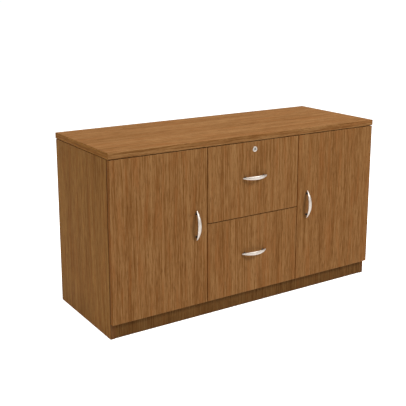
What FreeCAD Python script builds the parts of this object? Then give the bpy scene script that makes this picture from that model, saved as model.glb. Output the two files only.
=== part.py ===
import FreeCAD, Part
import math
import os

# Laminate office storage cabinet: two doors flanking two file drawers, the upper one with a lock.
# Millimetres. Z is up, the front faces -Y, and the origin is the middle of the footprint on the floor.
# Each piece is a separate solid, and each named node is one STEP file.

Vector = FreeCAD.Vector

# Overall sizes
TOP_WIDTH = 1350.0
TOP_DEPTH = 500.0
OVERALL_HEIGHT = 750.0

# Board thicknesses
TOP_THICK = 25.0
SIDE_THICK = 19.0
PARTITION_THICK = 19.0
BOTTOM_THICK = 19.0
FRONT_THICK = 19.0
BACK_THICK = 16.0
PLINTH_THICK = 16.0
RAIL_THICK = 19.0
SHELF_THICK = 19.0
BOX_BOARD = 12.0
BOX_BOTTOM_THICK = 6.0

# Edge banding on the top and the fronts
EDGE_BAND = 2.0
EDGE_ROUND = 1.6

# Shadow groove along the outer top edge of each side, under the top
REVEAL_HEIGHT = 3.0
REVEAL_DEPTH = 3.0

# Layout of the carcass and its fronts
SIDE_INSET = 2.0
DOOR_EDGE_INSET = 0.5
FRONT_GAP = 3.0
FRONT_STANDOFF = 2.5
KICK_HEIGHT = 64.0
KICK_RECESS = 2.0
FRONT_RISE = 2.0
DRAWER_COLUMN = 470.0
LOWER_FRONT_HEIGHT = 335.5
RAIL_DEPTH = 100.0

# Bow handles
HANDLE_LENGTH = 122.0
HANDLE_PROJECTION = 29.0
HANDLE_BOW = 21.5
HANDLE_WIDTH = 16.0
HANDLE_TIP_WIDTH = 4.8
HANDLE_THICK = 6.0
HANDLE_TIP_THICK = 3.2
HANDLE_CENTRES = 96.0
HANDLE_POST_RADIUS = 3.5
HANDLE_FROM_EDGE = 52.5
DOOR_HANDLE_RAISE = 13.0
DRAWER_HANDLE_RAISE = 8.0
HANDLE_STATIONS = 9
HANDLE_SCREW_RADIUS = 2.0
HANDLE_SCREW_GRIP = 9.0
HANDLE_SCREW_HEAD_RADIUS = 4.0
HANDLE_SCREW_HEAD_HEIGHT = 2.4

# Concealed cup hinges
HINGE_FROM_END = 100.0
CUP_RADIUS = 17.5
CUP_FLOOR = 1.0
CUP_EDGE = 3.0
POCKET_HALF_HEIGHT = 5.5
POCKET_REACH = 24.0
PIN_EDGE = 7.5
PIN_DEPTH = 9.0
PIN_RADIUS = 1.5
PIN_SEAT = 4.0
PIN_CLEARANCE = 0.05
EYE_WALL = 1.0
EYE_CLEARANCE = 0.3
ARM_THICK = 2.5
ARM_SIDE_CLEARANCE = 0.5
ARM_LENGTH = 52.0
ARM_CHANNEL = 8.0
PLATE_THICK = 2.0
PLATE_LENGTH = 44.0
PLATE_HEIGHT = 46.0
PLATE_SETBACK = 8.0
PLATE_SCREW_RADIUS = 2.0
PLATE_SCREW_SETBACK = 37.0
PLATE_SCREW_SPACING = 32.0
PLATE_SCREW_LENGTH = 14.0
PLATE_SCREW_HEAD = 1.6
PLATE_SCREW_HEAD_RADIUS = 4.0
BUMPER_RADIUS = 3.0
BUMPER_CLEARANCE = 0.4
BUMPER_FROM_END = 30.0

# Drawer boxes and their slides
BOX_BACK_CLEARANCE = 9.0
BOX_LIFT = 12.0
BOX_LOCK_CLEARANCE = 5.5
BOX_FLOOR_CLEARANCE = 14.0
BOX_TOP_CLEARANCE = 49.5
GROOVE_DEPTH = 6.0
GROOVE_RISE = 10.0
GROOVE_PLAY = 0.5
FILE_SPAN = 317.0
FILE_RAIL_THICK = 3.0
FILE_RAIL_HEIGHT = 14.0
FILE_RAIL_SEAT = 8.0
SLIDE_WIDTH = 12.7
SLIDE_HEIGHT = 45.0
SLIDE_SHEET = 1.2
SLIDE_BALL = 3.0
SLIDE_LIP = 6.0
SLIDE_RISE = 90.0
SLIDE_SETBACK = 3.0
SLIDE_BACK_CLEARANCE = 9.5

# Cam lock of the upper drawer
LOCK_RAIL_CLEARANCE = 3.5
LOCK_FACE_RADIUS = 11.5
LOCK_FACE_THICK = 2.0
LOCK_BODY_RADIUS = 9.5
LOCK_BODY_TAIL = 7.5
LOCK_NUT_WIDTH = 24.0
LOCK_NUT_THICK = 3.5
LOCK_PLUG_RADIUS = 6.5
LOCK_PLUG_CLEARANCE = 0.05
KEYWAY_WIDTH = 1.6
KEYWAY_HEIGHT = 8.0
KEYWAY_DEPTH = 5.0
LOCK_CAM_THICK = 2.0
LOCK_CAM_WIDTH = 10.0
LOCK_CAM_CLEARANCE = 0.5
LOCK_CAM_RIM = 1.0
LOCK_TENON = 4.0
STRIKE_THICK = 1.5
STRIKE_DROP = 6.5
STRIKE_WIDTH = 40.0
STRIKE_FOOT = 18.0
STRIKE_PLAY = 1.5

# Shelves on pins
SHELF_SETBACK = 12.0
SHELF_END_CLEARANCE = 1.0
SHELF_PIN_RADIUS = 2.5
SHELF_PIN_DEPTH = 10.0
SHELF_PIN_REACH = 9.0
SHELF_ROW_SETBACK = 37.0
SHELF_HOLE_PITCH = 32.0
SHELF_HOLES_EACH_WAY = 3

# Knock-down fittings of the carcass
CAM_RADIUS = 7.5
CAM_DEPTH = 13.5
CAM_FROM_EDGE = 24.0
BOLT_RADIUS = 3.0
BOLT_ANCHOR = 11.0
DOWEL_RADIUS = 4.0
DOWEL_ANCHOR = 11.0
DOWEL_REACH = 19.0
FITTING_SETBACK = 60.0
DOWEL_OFFSET = 32.0

# Levelling glides inside the plinth
GLIDE_PAD_RADIUS = 13.0
GLIDE_PAD_HEIGHT = 7.0
GLIDE_STEM_RADIUS = 4.0
GLIDE_STEM_CLEARANCE = 18.0
BRACKET_SHEET = 2.5
BRACKET_LEG = 36.0
BRACKET_HEIGHT = 26.0
BRACKET_DROP = 10.0
BRACKET_CLEARANCE = 4.0

# Planes worked out from the sizes above
BACK_Y = (TOP_DEPTH + HANDLE_PROJECTION) / 2
FACE_Y = BACK_Y - TOP_DEPTH
FRONT_BACK_Y = FACE_Y + FRONT_THICK
CARCASS_Y = FRONT_BACK_Y + FRONT_STANDOFF
INNER_BACK_Y = BACK_Y - BACK_THICK
UNDER_TOP = OVERALL_HEIGHT - TOP_THICK
FLOOR_TOP = KICK_HEIGHT + BOTTOM_THICK
FRONT_LOW = KICK_HEIGHT + FRONT_RISE
FRONT_HIGH = UNDER_TOP - FRONT_GAP
LOWER_FRONT_HIGH = FRONT_LOW + LOWER_FRONT_HEIGHT
UPPER_FRONT_LOW = LOWER_FRONT_HIGH + FRONT_GAP
SIDE_OUT = TOP_WIDTH / 2 - SIDE_INSET
SIDE_IN = SIDE_OUT - SIDE_THICK
PARTITION_X = DRAWER_COLUMN / 2
PARTITION_OUT = PARTITION_X + PARTITION_THICK / 2
PARTITION_IN = PARTITION_X - PARTITION_THICK / 2
DOOR_OUT = SIDE_OUT - DOOR_EDGE_INSET
DOOR_IN = PARTITION_X + FRONT_GAP / 2
DRAWER_FRONT_HALF = PARTITION_X - FRONT_GAP / 2
RAIL_LOW = UNDER_TOP - RAIL_THICK
HANDLE_Z = (FRONT_LOW + FRONT_HIGH) / 2 + DOOR_HANDLE_RAISE
HINGE_ZS = (FRONT_LOW + HINGE_FROM_END, FRONT_HIGH - HINGE_FROM_END)
HINGE_X = DOOR_OUT - PIN_EDGE
HINGE_Y = FRONT_BACK_Y - PIN_DEPTH
EYE_BORE = PIN_RADIUS + PIN_CLEARANCE
EYE_RADIUS = EYE_BORE + EYE_WALL
POCKET_DEPTH = PIN_DEPTH + EYE_RADIUS + EYE_CLEARANCE
CUP_DEPTH = POCKET_DEPTH + CUP_FLOOR
LOCK_Z = RAIL_LOW - STRIKE_THICK - LOCK_RAIL_CLEARANCE - LOCK_NUT_WIDTH / 2
LOCK_END_Y = FRONT_BACK_Y + LOCK_BODY_TAIL
BOX_HALF = PARTITION_IN - SLIDE_WIDTH
BOX_BACK_Y = INNER_BACK_Y - BOX_BACK_CLEARANCE
UPPER_BOX_Z = (UPPER_FRONT_LOW + BOX_LIFT, LOCK_Z - LOCK_NUT_WIDTH / 2 - BOX_LOCK_CLEARANCE)
LOWER_BOX_Z = (FLOOR_TOP + BOX_FLOOR_CLEARANCE, LOWER_FRONT_HIGH - BOX_TOP_CLEARANCE)
SLIDE_Y = (CARCASS_Y + SLIDE_SETBACK, INNER_BACK_Y - SLIDE_BACK_CLEARANCE)
BRACKET_HIGH = KICK_HEIGHT - BRACKET_DROP
BRACKET_LOW = BRACKET_HIGH - BRACKET_HEIGHT
LEFT, RIGHT = -1, 1
SIDES = {"left": LEFT, "right": RIGHT}

parts = {}


def block(x, y, z):
    """A box from three (from, to) spans, in any order."""
    low = [min(span) for span in (x, y, z)]
    size = [abs(span[1] - span[0]) for span in (x, y, z)]
    return Part.makeBox(size[0], size[1], size[2], Vector(*low))


def rod(radius, start, end):
    """A round bar between two points."""
    start, end = Vector(*start), Vector(*end)
    run = end - start
    return Part.makeCylinder(radius, run.Length, start, run)


def cut(shape, tools):
    """The shape without every tool in the list."""
    return shape.cut(Part.makeCompound(tools)) if tools else shape


def keep(node, *solids):
    """Files the solids of one node."""
    parts.setdefault(node, []).extend(solids)


def banded_panel(x, y, z, normal):
    """A panel's core and the rounded band round its four edges; normal is the axis through its faces."""
    spans = [sorted(x), sorted(y), sorted(z)]
    whole = block(*spans)
    rims = []
    for edge in whole.Edges:
        along_face = abs(getattr(edge.tangentAt(edge.FirstParameter), normal)) < 0.5
        if along_face:
            rims.append(edge)
    rounded = whole.makeFillet(EDGE_ROUND, rims)
    inner = []
    for axis, span in zip("xyz", spans):
        shrink = 0.0 if axis == normal else EDGE_BAND
        inner.append((span[0] + shrink, span[1] - shrink))
    core = block(*inner)
    return core, rounded.cut(core)


def fitting(corner, into, face, half_thick):
    """A cam lock and its bolt at a board joint, with the bores that they need.

    corner is on the joint, at the middle of the board's thickness; into points along the board away from
    the joint; face points to the board face that takes the cam.
    """
    corner, into, face = Vector(*corner), Vector(*into), Vector(*face)
    centre = corner + into * CAM_FROM_EDGE
    mouth = centre + face * half_thick
    cam = rod(CAM_RADIUS, mouth, mouth - face * CAM_DEPTH)
    bolt = rod(BOLT_RADIUS, corner - into * BOLT_ANCHOR, centre)
    return cam.cut(bolt), bolt, [cam, bolt]


def dowel(corner, into):
    """A dowel across a board joint, seated in both boards."""
    corner, into = Vector(*corner), Vector(*into)
    return rod(DOWEL_RADIUS, corner - into * DOWEL_ANCHOR, corner + into * DOWEL_REACH)


def shelf_rows():
    """The Y places of the front and rear columns of shelf holes, and the heights in one column."""
    ys = (CARCASS_Y + SHELF_ROW_SETBACK, INNER_BACK_Y - SHELF_ROW_SETBACK)
    middle = (FLOOR_TOP + UNDER_TOP) / 2
    steps = range(-SHELF_HOLES_EACH_WAY, SHELF_HOLES_EACH_WAY + 1)
    return ys, [middle + step * SHELF_HOLE_PITCH for step in steps], middle


def shelf_holes(face_x, away):
    """Blind shelf holes in a board face; away is the X direction into the board."""
    ys, zs, _ = shelf_rows()
    holes = []
    for y in ys:
        for z in zs:
            holes.append(rod(SHELF_PIN_RADIUS, (face_x, y, z), (face_x + away * SHELF_PIN_DEPTH, y, z)))
    return holes


def build_shelves():
    """One shelf in each door bay, on four pins."""
    ys, _, pin_z = shelf_rows()
    shelf_z = pin_z + SHELF_PIN_RADIUS
    for side in SIDES.values():
        span = (side * (SIDE_IN - SHELF_END_CLEARANCE), side * (PARTITION_OUT + SHELF_END_CLEARANCE))
        depth = (CARCASS_Y + SHELF_SETBACK, INNER_BACK_Y - SHELF_END_CLEARANCE)
        keep("shelves", block(span, depth, (shelf_z, shelf_z + SHELF_THICK)))
        for y in ys:
            outer = (side * (SIDE_IN + SHELF_PIN_DEPTH), side * (SIDE_IN - SHELF_PIN_REACH))
            inner = (side * (PARTITION_OUT - SHELF_PIN_DEPTH), side * (PARTITION_OUT + SHELF_PIN_REACH))
            for start, end in (outer, inner):
                keep("shelf_pins", rod(SHELF_PIN_RADIUS, (start, y, pin_z), (end, y, pin_z)))


def build_carcass():
    """Top, sides, partitions, bottom, back, plinth and rail, with the fittings that hold them."""
    core, band = banded_panel(
        (-TOP_WIDTH / 2, TOP_WIDTH / 2), (FACE_Y, BACK_Y), (UNDER_TOP, OVERALL_HEIGHT), "z")
    fitting_ys = (CARCASS_Y + FITTING_SETBACK, INNER_BACK_Y - FITTING_SETBACK)
    dowel_ys = (fitting_ys[0] + DOWEL_OFFSET, fitting_ys[1] - DOWEL_OFFSET)
    bottom = block((-SIDE_IN, SIDE_IN), (CARCASS_Y, INNER_BACK_Y), (KICK_HEIGHT, FLOOR_TOP))
    bottom_mid = (KICK_HEIGHT + FLOOR_TOP) / 2
    top_bores, bottom_bores = [], []

    for name, side in SIDES.items():
        side_bores = shelf_holes(side * SIDE_IN, side) + hinge_screw_bores(side)
        partition_bores = shelf_holes(side * PARTITION_OUT, -side)
        side_mid = side * (SIDE_OUT + SIDE_IN) / 2
        for y in fitting_ys:
            cam, bolt, bores = fitting((side_mid, y, UNDER_TOP), (0, 0, -1), (-side, 0, 0), SIDE_THICK / 2)
            keep("cam_locks", cam)
            keep("cam_bolts", bolt)
            side_bores += bores
            top_bores.append(bolt)
            cam, bolt, bores = fitting(
                (side * PARTITION_X, y, UNDER_TOP), (0, 0, -1), (side, 0, 0), PARTITION_THICK / 2)
            keep("cam_locks", cam)
            keep("cam_bolts", bolt)
            partition_bores += bores
            top_bores.append(bolt)
            cam, bolt, bores = fitting(
                (side * SIDE_IN, y, bottom_mid), (-side, 0, 0), (0, 0, -1), BOTTOM_THICK / 2)
            keep("cam_locks", cam)
            keep("cam_bolts", bolt)
            bottom_bores += bores
            side_bores.append(bolt)
        for y in dowel_ys:
            side_top = dowel((side_mid, y, UNDER_TOP), (0, 0, -1))
            partition_top = dowel((side * PARTITION_X, y, UNDER_TOP), (0, 0, -1))
            partition_foot = dowel((side * PARTITION_X, y, FLOOR_TOP), (0, 0, 1))
            bottom_end = dowel((side * SIDE_IN, y, bottom_mid), (-side, 0, 0))
            keep("dowels", side_top, partition_top, partition_foot, bottom_end)
            side_bores += [side_top, bottom_end]
            partition_bores += [partition_top, partition_foot]
            top_bores += [side_top, partition_top]
            bottom_bores += [partition_foot, bottom_end]
        panel = block((side * SIDE_OUT, side * SIDE_IN), (CARCASS_Y, BACK_Y), (0, UNDER_TOP))
        reveal = block((side * SIDE_OUT, side * (SIDE_OUT - REVEAL_DEPTH)), (CARCASS_Y, BACK_Y),
                       (UNDER_TOP - REVEAL_HEIGHT, UNDER_TOP))
        keep(name + "_side_panel", cut(panel, side_bores + [reveal]))
        partition = block(
            (side * PARTITION_IN, side * PARTITION_OUT), (CARCASS_Y, INNER_BACK_Y), (FLOOR_TOP, UNDER_TOP))
        keep("partitions", cut(partition, partition_bores))

    keep("top_panel", cut(core, top_bores))
    keep("top_edge_band", band)
    keep("bottom_panel", cut(bottom, bottom_bores))
    keep("back_panel", block((-SIDE_IN, SIDE_IN), (INNER_BACK_Y, BACK_Y), (KICK_HEIGHT, UNDER_TOP)))
    kick_y = CARCASS_Y + KICK_RECESS
    keep("toe_kick", block((-SIDE_IN, SIDE_IN), (kick_y, kick_y + PLINTH_THICK), (0, KICK_HEIGHT)))
    keep("rear_plinth", block((-SIDE_IN, SIDE_IN), (BACK_Y - PLINTH_THICK, BACK_Y), (0, KICK_HEIGHT)))
    rail_y = (CARCASS_Y, CARCASS_Y + RAIL_DEPTH)
    keep("front_top_rail", block((-PARTITION_IN, PARTITION_IN), rail_y, (RAIL_LOW, UNDER_TOP)))


def build_glides():
    """Levelling glides on angle brackets at the four inner corners of the plinth."""
    front_y = CARCASS_Y + KICK_RECESS + PLINTH_THICK + BRACKET_CLEARANCE
    rear_y = BACK_Y - PLINTH_THICK - BRACKET_CLEARANCE
    for side in SIDES.values():
        for start, end in ((front_y, front_y + BRACKET_LEG), (rear_y, rear_y - BRACKET_LEG)):
            upright = block((side * SIDE_IN, side * (SIDE_IN - BRACKET_SHEET)), (start, end),
                            (BRACKET_LOW, BRACKET_HIGH))
            foot = block((side * SIDE_IN, side * (SIDE_IN - BRACKET_LEG)), (start, end),
                         (BRACKET_LOW, BRACKET_LOW + BRACKET_SHEET))
            x = side * (SIDE_IN - (BRACKET_LEG + BRACKET_SHEET) / 2)
            y = (start + end) / 2
            stem_top = KICK_HEIGHT - GLIDE_STEM_CLEARANCE
            stem = rod(GLIDE_STEM_RADIUS, (x, y, GLIDE_PAD_HEIGHT), (x, y, stem_top))
            pad = rod(GLIDE_PAD_RADIUS, (x, y, 0), (x, y, GLIDE_PAD_HEIGHT))
            keep("leveling_brackets", upright.fuse(foot).removeSplitter().cut(stem))
            keep("leveling_glides", pad.fuse(stem))


def bow_handle(x, z, upright):
    """A crescent bow pull on two posts: an arc of oval sections, widest in the middle."""
    half = HANDLE_LENGTH / 2
    radius = (half ** 2 + HANDLE_BOW ** 2) / (2 * HANDLE_BOW)
    centre_y = FACE_Y - HANDLE_PROJECTION + HANDLE_THICK / 2 + radius
    end_angle = math.asin(half / radius)
    sections = []
    for station in range(HANDLE_STATIONS):
        share = 2 * station / (HANDLE_STATIONS - 1) - 1
        angle = end_angle * share
        fullness = 1 - share ** 2
        wide = (HANDLE_TIP_WIDTH + (HANDLE_WIDTH - HANDLE_TIP_WIDTH) * fullness) / 2
        thick = (HANDLE_TIP_THICK + (HANDLE_THICK - HANDLE_TIP_THICK) * fullness) / 2
        outward = Vector(math.sin(angle), -math.cos(angle), 0)
        centre = Vector(x, centre_y, z) + outward * radius
        oval = Part.Ellipse(centre + Vector(0, 0, wide), centre + outward * thick, centre)
        sections.append(Part.Wire(oval.toShape()))
    handle = Part.makeLoft(sections, True)
    post_x = HANDLE_CENTRES / 2
    post_y = centre_y - math.sqrt(radius ** 2 - post_x ** 2)
    for place in (x - post_x, x + post_x):
        handle = handle.fuse(rod(HANDLE_POST_RADIUS, (place, FACE_Y, z), (place, post_y, z)))
    screws = []
    for place in (x - post_x, x + post_x):
        head_y = FRONT_BACK_Y - HANDLE_SCREW_HEAD_HEIGHT
        head = rod(HANDLE_SCREW_HEAD_RADIUS, (place, FRONT_BACK_Y, z), (place, head_y, z))
        shank = rod(HANDLE_SCREW_RADIUS, (place, head_y, z), (place, FACE_Y - HANDLE_SCREW_GRIP, z))
        screws.append(head.fuse(shank).removeSplitter())
    handle = cut(handle, screws)
    turn = 90 if upright else 0
    for shape in [handle] + screws:
        shape.rotate(Vector(x, FACE_Y, z), Vector(0, 1, 0), turn)
    return handle, screws


def hinge_screws(side, z):
    """The two screws of one hinge plate."""
    screws = []
    plate_x = SIDE_IN - PLATE_THICK
    y = CARCASS_Y + PLATE_SCREW_SETBACK
    for offset in (-PLATE_SCREW_SPACING / 2, PLATE_SCREW_SPACING / 2):
        seat = (side * plate_x, y, z + offset)
        top = (side * (plate_x - PLATE_SCREW_HEAD), y, z + offset)
        tip = (side * (plate_x + PLATE_SCREW_LENGTH), y, z + offset)
        head = rod(PLATE_SCREW_HEAD_RADIUS, top, seat)
        screws.append(head.fuse(rod(PLATE_SCREW_RADIUS, seat, tip)).removeSplitter())
    return screws


def hinge_screw_bores(side):
    """Everything that the hinge plate screws take out of a side panel."""
    return [screw for z in HINGE_ZS for screw in hinge_screws(side, z)]


def build_hinge(name, side, z):
    """One cup hinge: the cup and pin in the door, the arm, plate and screws on the side panel."""
    pin_half = POCKET_HALF_HEIGHT + PIN_SEAT
    pin_x = side * HINGE_X
    pin = rod(PIN_RADIUS, (pin_x, HINGE_Y, z - pin_half), (pin_x, HINGE_Y, z + pin_half))
    cup_x = side * (DOOR_OUT - CUP_EDGE - CUP_RADIUS)
    cup = rod(CUP_RADIUS, (cup_x, FRONT_BACK_Y, z), (cup_x, FRONT_BACK_Y - CUP_DEPTH, z))
    pocket = block((pin_x + side * (EYE_RADIUS + EYE_CLEARANCE), pin_x - side * POCKET_REACH),
                   (FRONT_BACK_Y, FRONT_BACK_Y - POCKET_DEPTH),
                   (z - POCKET_HALF_HEIGHT, z + POCKET_HALF_HEIGHT))
    keep(name + "_door_hinge_cups", cut(cup, [pocket, pin]))
    keep(name + "_door_hinge_pins", pin)

    half = POCKET_HALF_HEIGHT - ARM_SIDE_CLEARANCE
    height = (z - half, z + half)
    plate_x = SIDE_IN - PLATE_THICK
    plate_y = CARCASS_Y + PLATE_SETBACK
    arm_x = (side * plate_x, side * (plate_x - ARM_THICK))
    eye = rod(EYE_RADIUS, (pin_x, HINGE_Y, z - half), (pin_x, HINGE_Y, z + half))
    leg_y = (HINGE_Y - ARM_THICK / 2, HINGE_Y + ARM_THICK / 2)
    leg = block((pin_x, arm_x[1]), leg_y, height)
    neck = block(arm_x, (leg_y[0], plate_y + ARM_LENGTH), height)
    channel = block((arm_x[0], side * (plate_x - ARM_CHANNEL)), (plate_y, plate_y + ARM_LENGTH), height)
    bore = rod(EYE_BORE, (pin_x, HINGE_Y, z - half), (pin_x, HINGE_Y, z + half))
    keep("hinge_arms", eye.multiFuse([leg, neck, channel]).removeSplitter().cut(bore))
    plate = block((side * SIDE_IN, side * plate_x), (plate_y, plate_y + PLATE_LENGTH),
                  (z - PLATE_HEIGHT / 2, z + PLATE_HEIGHT / 2))
    screws = hinge_screws(side, z)
    keep("hinge_plates", cut(plate, screws))
    keep("hinge_plate_screws", *screws)
    return cup


def build_door(name, side):
    """A full-overlay door with its band, pull, hinges and bumpers."""
    core, band = banded_panel(
        (side * DOOR_OUT, side * DOOR_IN), (FACE_Y, FRONT_BACK_Y), (FRONT_LOW, FRONT_HIGH), "y")
    handle, screws = bow_handle(side * (DOOR_IN + HANDLE_FROM_EDGE), HANDLE_Z, True)
    cups = [build_hinge(name, side, z) for z in HINGE_ZS]
    keep(name + "_door_panel", cut(core, cups + screws))
    keep(name + "_door_edge_band", cut(band, cups))
    keep(name + "_door_handle", handle)
    keep(name + "_door_handle_screws", *screws)
    bumper_x = side * (DOOR_IN + PARTITION_OUT) / 2
    for z in (FRONT_LOW + BUMPER_FROM_END, FRONT_HIGH - BUMPER_FROM_END):
        face = (bumper_x, CARCASS_Y - BUMPER_CLEARANCE, z)
        keep(name + "_door_bumpers", rod(BUMPER_RADIUS, (bumper_x, FRONT_BACK_Y, z), face))


def slide_member(side, z, web, lip, half):
    """One channel of a telescopic slide; web and lip are distances from the partition's inner face."""
    inward = SLIDE_SHEET if lip > web else -SLIDE_SHEET

    def strip(start, end, low, high):
        return block((side * (PARTITION_IN - start), side * (PARTITION_IN - end)), SLIDE_Y,
                     (z + low, z + high))

    back = strip(web, web + inward, -half, half)
    upper = strip(web, lip, half - SLIDE_SHEET, half)
    lower = strip(web, lip, -half, SLIDE_SHEET - half)
    return back.multiFuse([upper, lower]).removeSplitter()


def build_slides(name, z):
    """The pair of full-extension slides of one drawer, in three members each."""
    step = SLIDE_SHEET + SLIDE_BALL
    outer_half = SLIDE_HEIGHT / 2
    for side in SIDES.values():
        keep("slide_outer_members", slide_member(side, z, 0, SLIDE_LIP, outer_half))
        middle = slide_member(side, z, step, step + SLIDE_LIP, outer_half - step)
        keep(name + "_slide_mid_members", middle)
        inner = slide_member(side, z, SLIDE_WIDTH, SLIDE_WIDTH - SLIDE_LIP, outer_half - 2 * step)
        keep(name + "_drawer_slide_members", inner)


def build_drawer(name, front_span, box_z, front_bores):
    """A file drawer: banded front with its pull, a grooved box, hanging-file rails and slides."""
    core, band = banded_panel(
        (-DRAWER_FRONT_HALF, DRAWER_FRONT_HALF), (FACE_Y, FRONT_BACK_Y), front_span, "y")
    handle, screws = bow_handle(0, sum(front_span) / 2 + DRAWER_HANDLE_RAISE, False)
    keep(name + "_drawer_front", cut(core, screws + front_bores))
    keep(name + "_drawer_edge_band", band)
    keep(name + "_drawer_handle", handle)
    keep(name + "_drawer_handle_screws", *screws)

    inner_half = BOX_HALF - BOX_BOARD
    inner_y = (FRONT_BACK_Y + BOX_BOARD, BOX_BACK_Y - BOX_BOARD)
    bottom_z = (box_z[0] + GROOVE_RISE, box_z[0] + GROOVE_RISE + BOX_BOTTOM_THICK)
    groove = block((-inner_half - GROOVE_DEPTH, inner_half + GROOVE_DEPTH),
                   (inner_y[0] - GROOVE_DEPTH, inner_y[1] + GROOVE_DEPTH), bottom_z)
    seat = GROOVE_DEPTH - GROOVE_PLAY
    keep(name + "_drawer_bottom", block((-inner_half - seat, inner_half + seat),
                                        (inner_y[0] - seat, inner_y[1] + seat), bottom_z))
    rails = []
    for x in (-FILE_SPAN / 2, FILE_SPAN / 2):
        rails.append(block((x - FILE_RAIL_THICK / 2, x + FILE_RAIL_THICK / 2),
                           (inner_y[0] - FILE_RAIL_SEAT, inner_y[1] + FILE_RAIL_SEAT),
                           (box_z[1] - FILE_RAIL_HEIGHT, box_z[1])))
    keep(name + "_drawer_file_rails", *rails)
    for side in SIDES.values():
        board = block((side * BOX_HALF, side * inner_half), (FRONT_BACK_Y, BOX_BACK_Y), box_z)
        keep(name + "_drawer_sides", board.cut(groove))
    for span in ((FRONT_BACK_Y, inner_y[0]), (inner_y[1], BOX_BACK_Y)):
        board = block((-inner_half, inner_half), span, box_z)
        keep(name + "_drawer_ends", cut(board, [groove] + rails))
    build_slides(name, box_z[0] + SLIDE_RISE)


def build_lock():
    """The cam lock and its strike; returns the bore that the lock needs in the drawer front."""
    def shaft(radius, start, end):
        return rod(radius, (0, start, LOCK_Z), (0, end, LOCK_Z))

    face_front = FACE_Y - LOCK_FACE_THICK
    body = shaft(LOCK_BODY_RADIUS, FACE_Y, LOCK_END_Y)
    flange = shaft(LOCK_FACE_RADIUS, face_front, FACE_Y)
    plug_bore = shaft(LOCK_PLUG_RADIUS + LOCK_PLUG_CLEARANCE, face_front, LOCK_END_Y)
    keep("lock_housing", flange.fuse(body).cut(plug_bore))

    corners = []
    for step in range(7):
        turn = math.radians(60 * step)
        reach = LOCK_NUT_WIDTH / math.sqrt(3)
        corners.append(Vector(reach * math.cos(turn), FRONT_BACK_Y, LOCK_Z + reach * math.sin(turn)))
    hexagon = Part.Face(Part.makePolygon(corners))
    keep("lock_nut", hexagon.extrude(Vector(0, LOCK_NUT_THICK, 0)).cut(body))

    cam_front = LOCK_END_Y + LOCK_CAM_CLEARANCE
    cam_back = cam_front + LOCK_CAM_THICK
    tenon = block((-LOCK_TENON, LOCK_TENON), (cam_front, cam_back),
                  (LOCK_Z - LOCK_TENON, LOCK_Z + LOCK_TENON))
    keyway = block((-KEYWAY_WIDTH / 2, KEYWAY_WIDTH / 2), (face_front, face_front + KEYWAY_DEPTH),
                   (LOCK_Z - KEYWAY_HEIGHT / 2, LOCK_Z + KEYWAY_HEIGHT / 2))
    plug = shaft(LOCK_PLUG_RADIUS, face_front, cam_front).cut(keyway)
    keep("lock_plug", plug.fuse(tenon).removeSplitter())

    tip_radius = LOCK_CAM_WIDTH / 2
    reach = RAIL_LOW - LOCK_CAM_CLEARANCE - LOCK_Z - tip_radius
    hub = shaft(LOCK_PLUG_RADIUS + LOCK_CAM_RIM, cam_front, cam_back)
    bar = block((0, reach), (cam_front, cam_back), (LOCK_Z - tip_radius, LOCK_Z + tip_radius))
    tip = rod(tip_radius, (reach, cam_front, LOCK_Z), (reach, cam_back, LOCK_Z))
    keep("lock_cam", hub.multiFuse([bar, tip]).removeSplitter().cut(tenon))

    strike_y = cam_front - STRIKE_PLAY
    half = STRIKE_WIDTH / 2
    leg = block((-half, half), (strike_y - STRIKE_THICK, strike_y), (RAIL_LOW - STRIKE_DROP, RAIL_LOW))
    foot_y = (CARCASS_Y - STRIKE_THICK, strike_y)
    face = block((-half, half), (CARCASS_Y - STRIKE_THICK, CARCASS_Y),
                 (RAIL_LOW - STRIKE_THICK, RAIL_LOW + STRIKE_FOOT))
    shelf = block((-half, half), foot_y, (RAIL_LOW - STRIKE_THICK, RAIL_LOW))
    keep("lock_strike", leg.multiFuse([face, shelf]).removeSplitter())
    return flange.fuse(body)


def main():
    build_carcass()
    build_shelves()
    build_glides()
    for name, side in SIDES.items():
        build_door(name, side)
    lock_bore = build_lock()
    build_drawer("upper", (UPPER_FRONT_LOW, FRONT_HIGH), UPPER_BOX_Z, [lock_bore])
    build_drawer("lower", (FRONT_LOW, LOWER_FRONT_HIGH), LOWER_BOX_Z, [])
    os.makedirs("parts", exist_ok=True)
    for node, solids in parts.items():
        shape = solids[0] if len(solids) == 1 else Part.makeCompound(solids)
        shape.exportStep(os.path.join("parts", node + ".step"))
        print(node, len(shape.Solids), shape.isValid(), round(shape.Volume))


main()
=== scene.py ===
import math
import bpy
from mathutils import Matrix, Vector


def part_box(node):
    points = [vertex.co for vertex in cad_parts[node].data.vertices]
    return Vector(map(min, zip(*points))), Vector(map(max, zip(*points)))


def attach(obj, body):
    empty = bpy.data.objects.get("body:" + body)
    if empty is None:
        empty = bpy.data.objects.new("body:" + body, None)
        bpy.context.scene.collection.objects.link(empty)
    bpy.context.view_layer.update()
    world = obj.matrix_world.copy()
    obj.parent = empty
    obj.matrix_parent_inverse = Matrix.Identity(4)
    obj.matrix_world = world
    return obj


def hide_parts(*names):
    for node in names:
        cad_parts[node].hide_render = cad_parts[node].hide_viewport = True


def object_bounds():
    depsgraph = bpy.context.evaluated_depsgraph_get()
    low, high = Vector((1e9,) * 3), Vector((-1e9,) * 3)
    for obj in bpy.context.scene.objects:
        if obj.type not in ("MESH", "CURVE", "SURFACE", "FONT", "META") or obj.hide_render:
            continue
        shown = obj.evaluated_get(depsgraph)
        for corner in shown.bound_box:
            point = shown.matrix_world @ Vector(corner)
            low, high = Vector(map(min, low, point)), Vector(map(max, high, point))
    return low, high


bl_info = {
    "name": "Office Storage Cabinet",
    "version": (1, 0, 0),
    "blender": (4, 5, 0),
    "location": "View3D > Sidebar > Cabinet",
    "description": "Finishes, pulls, lock and hardware detail of a laminate office storage cabinet",
    "category": "Object",
}

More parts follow.
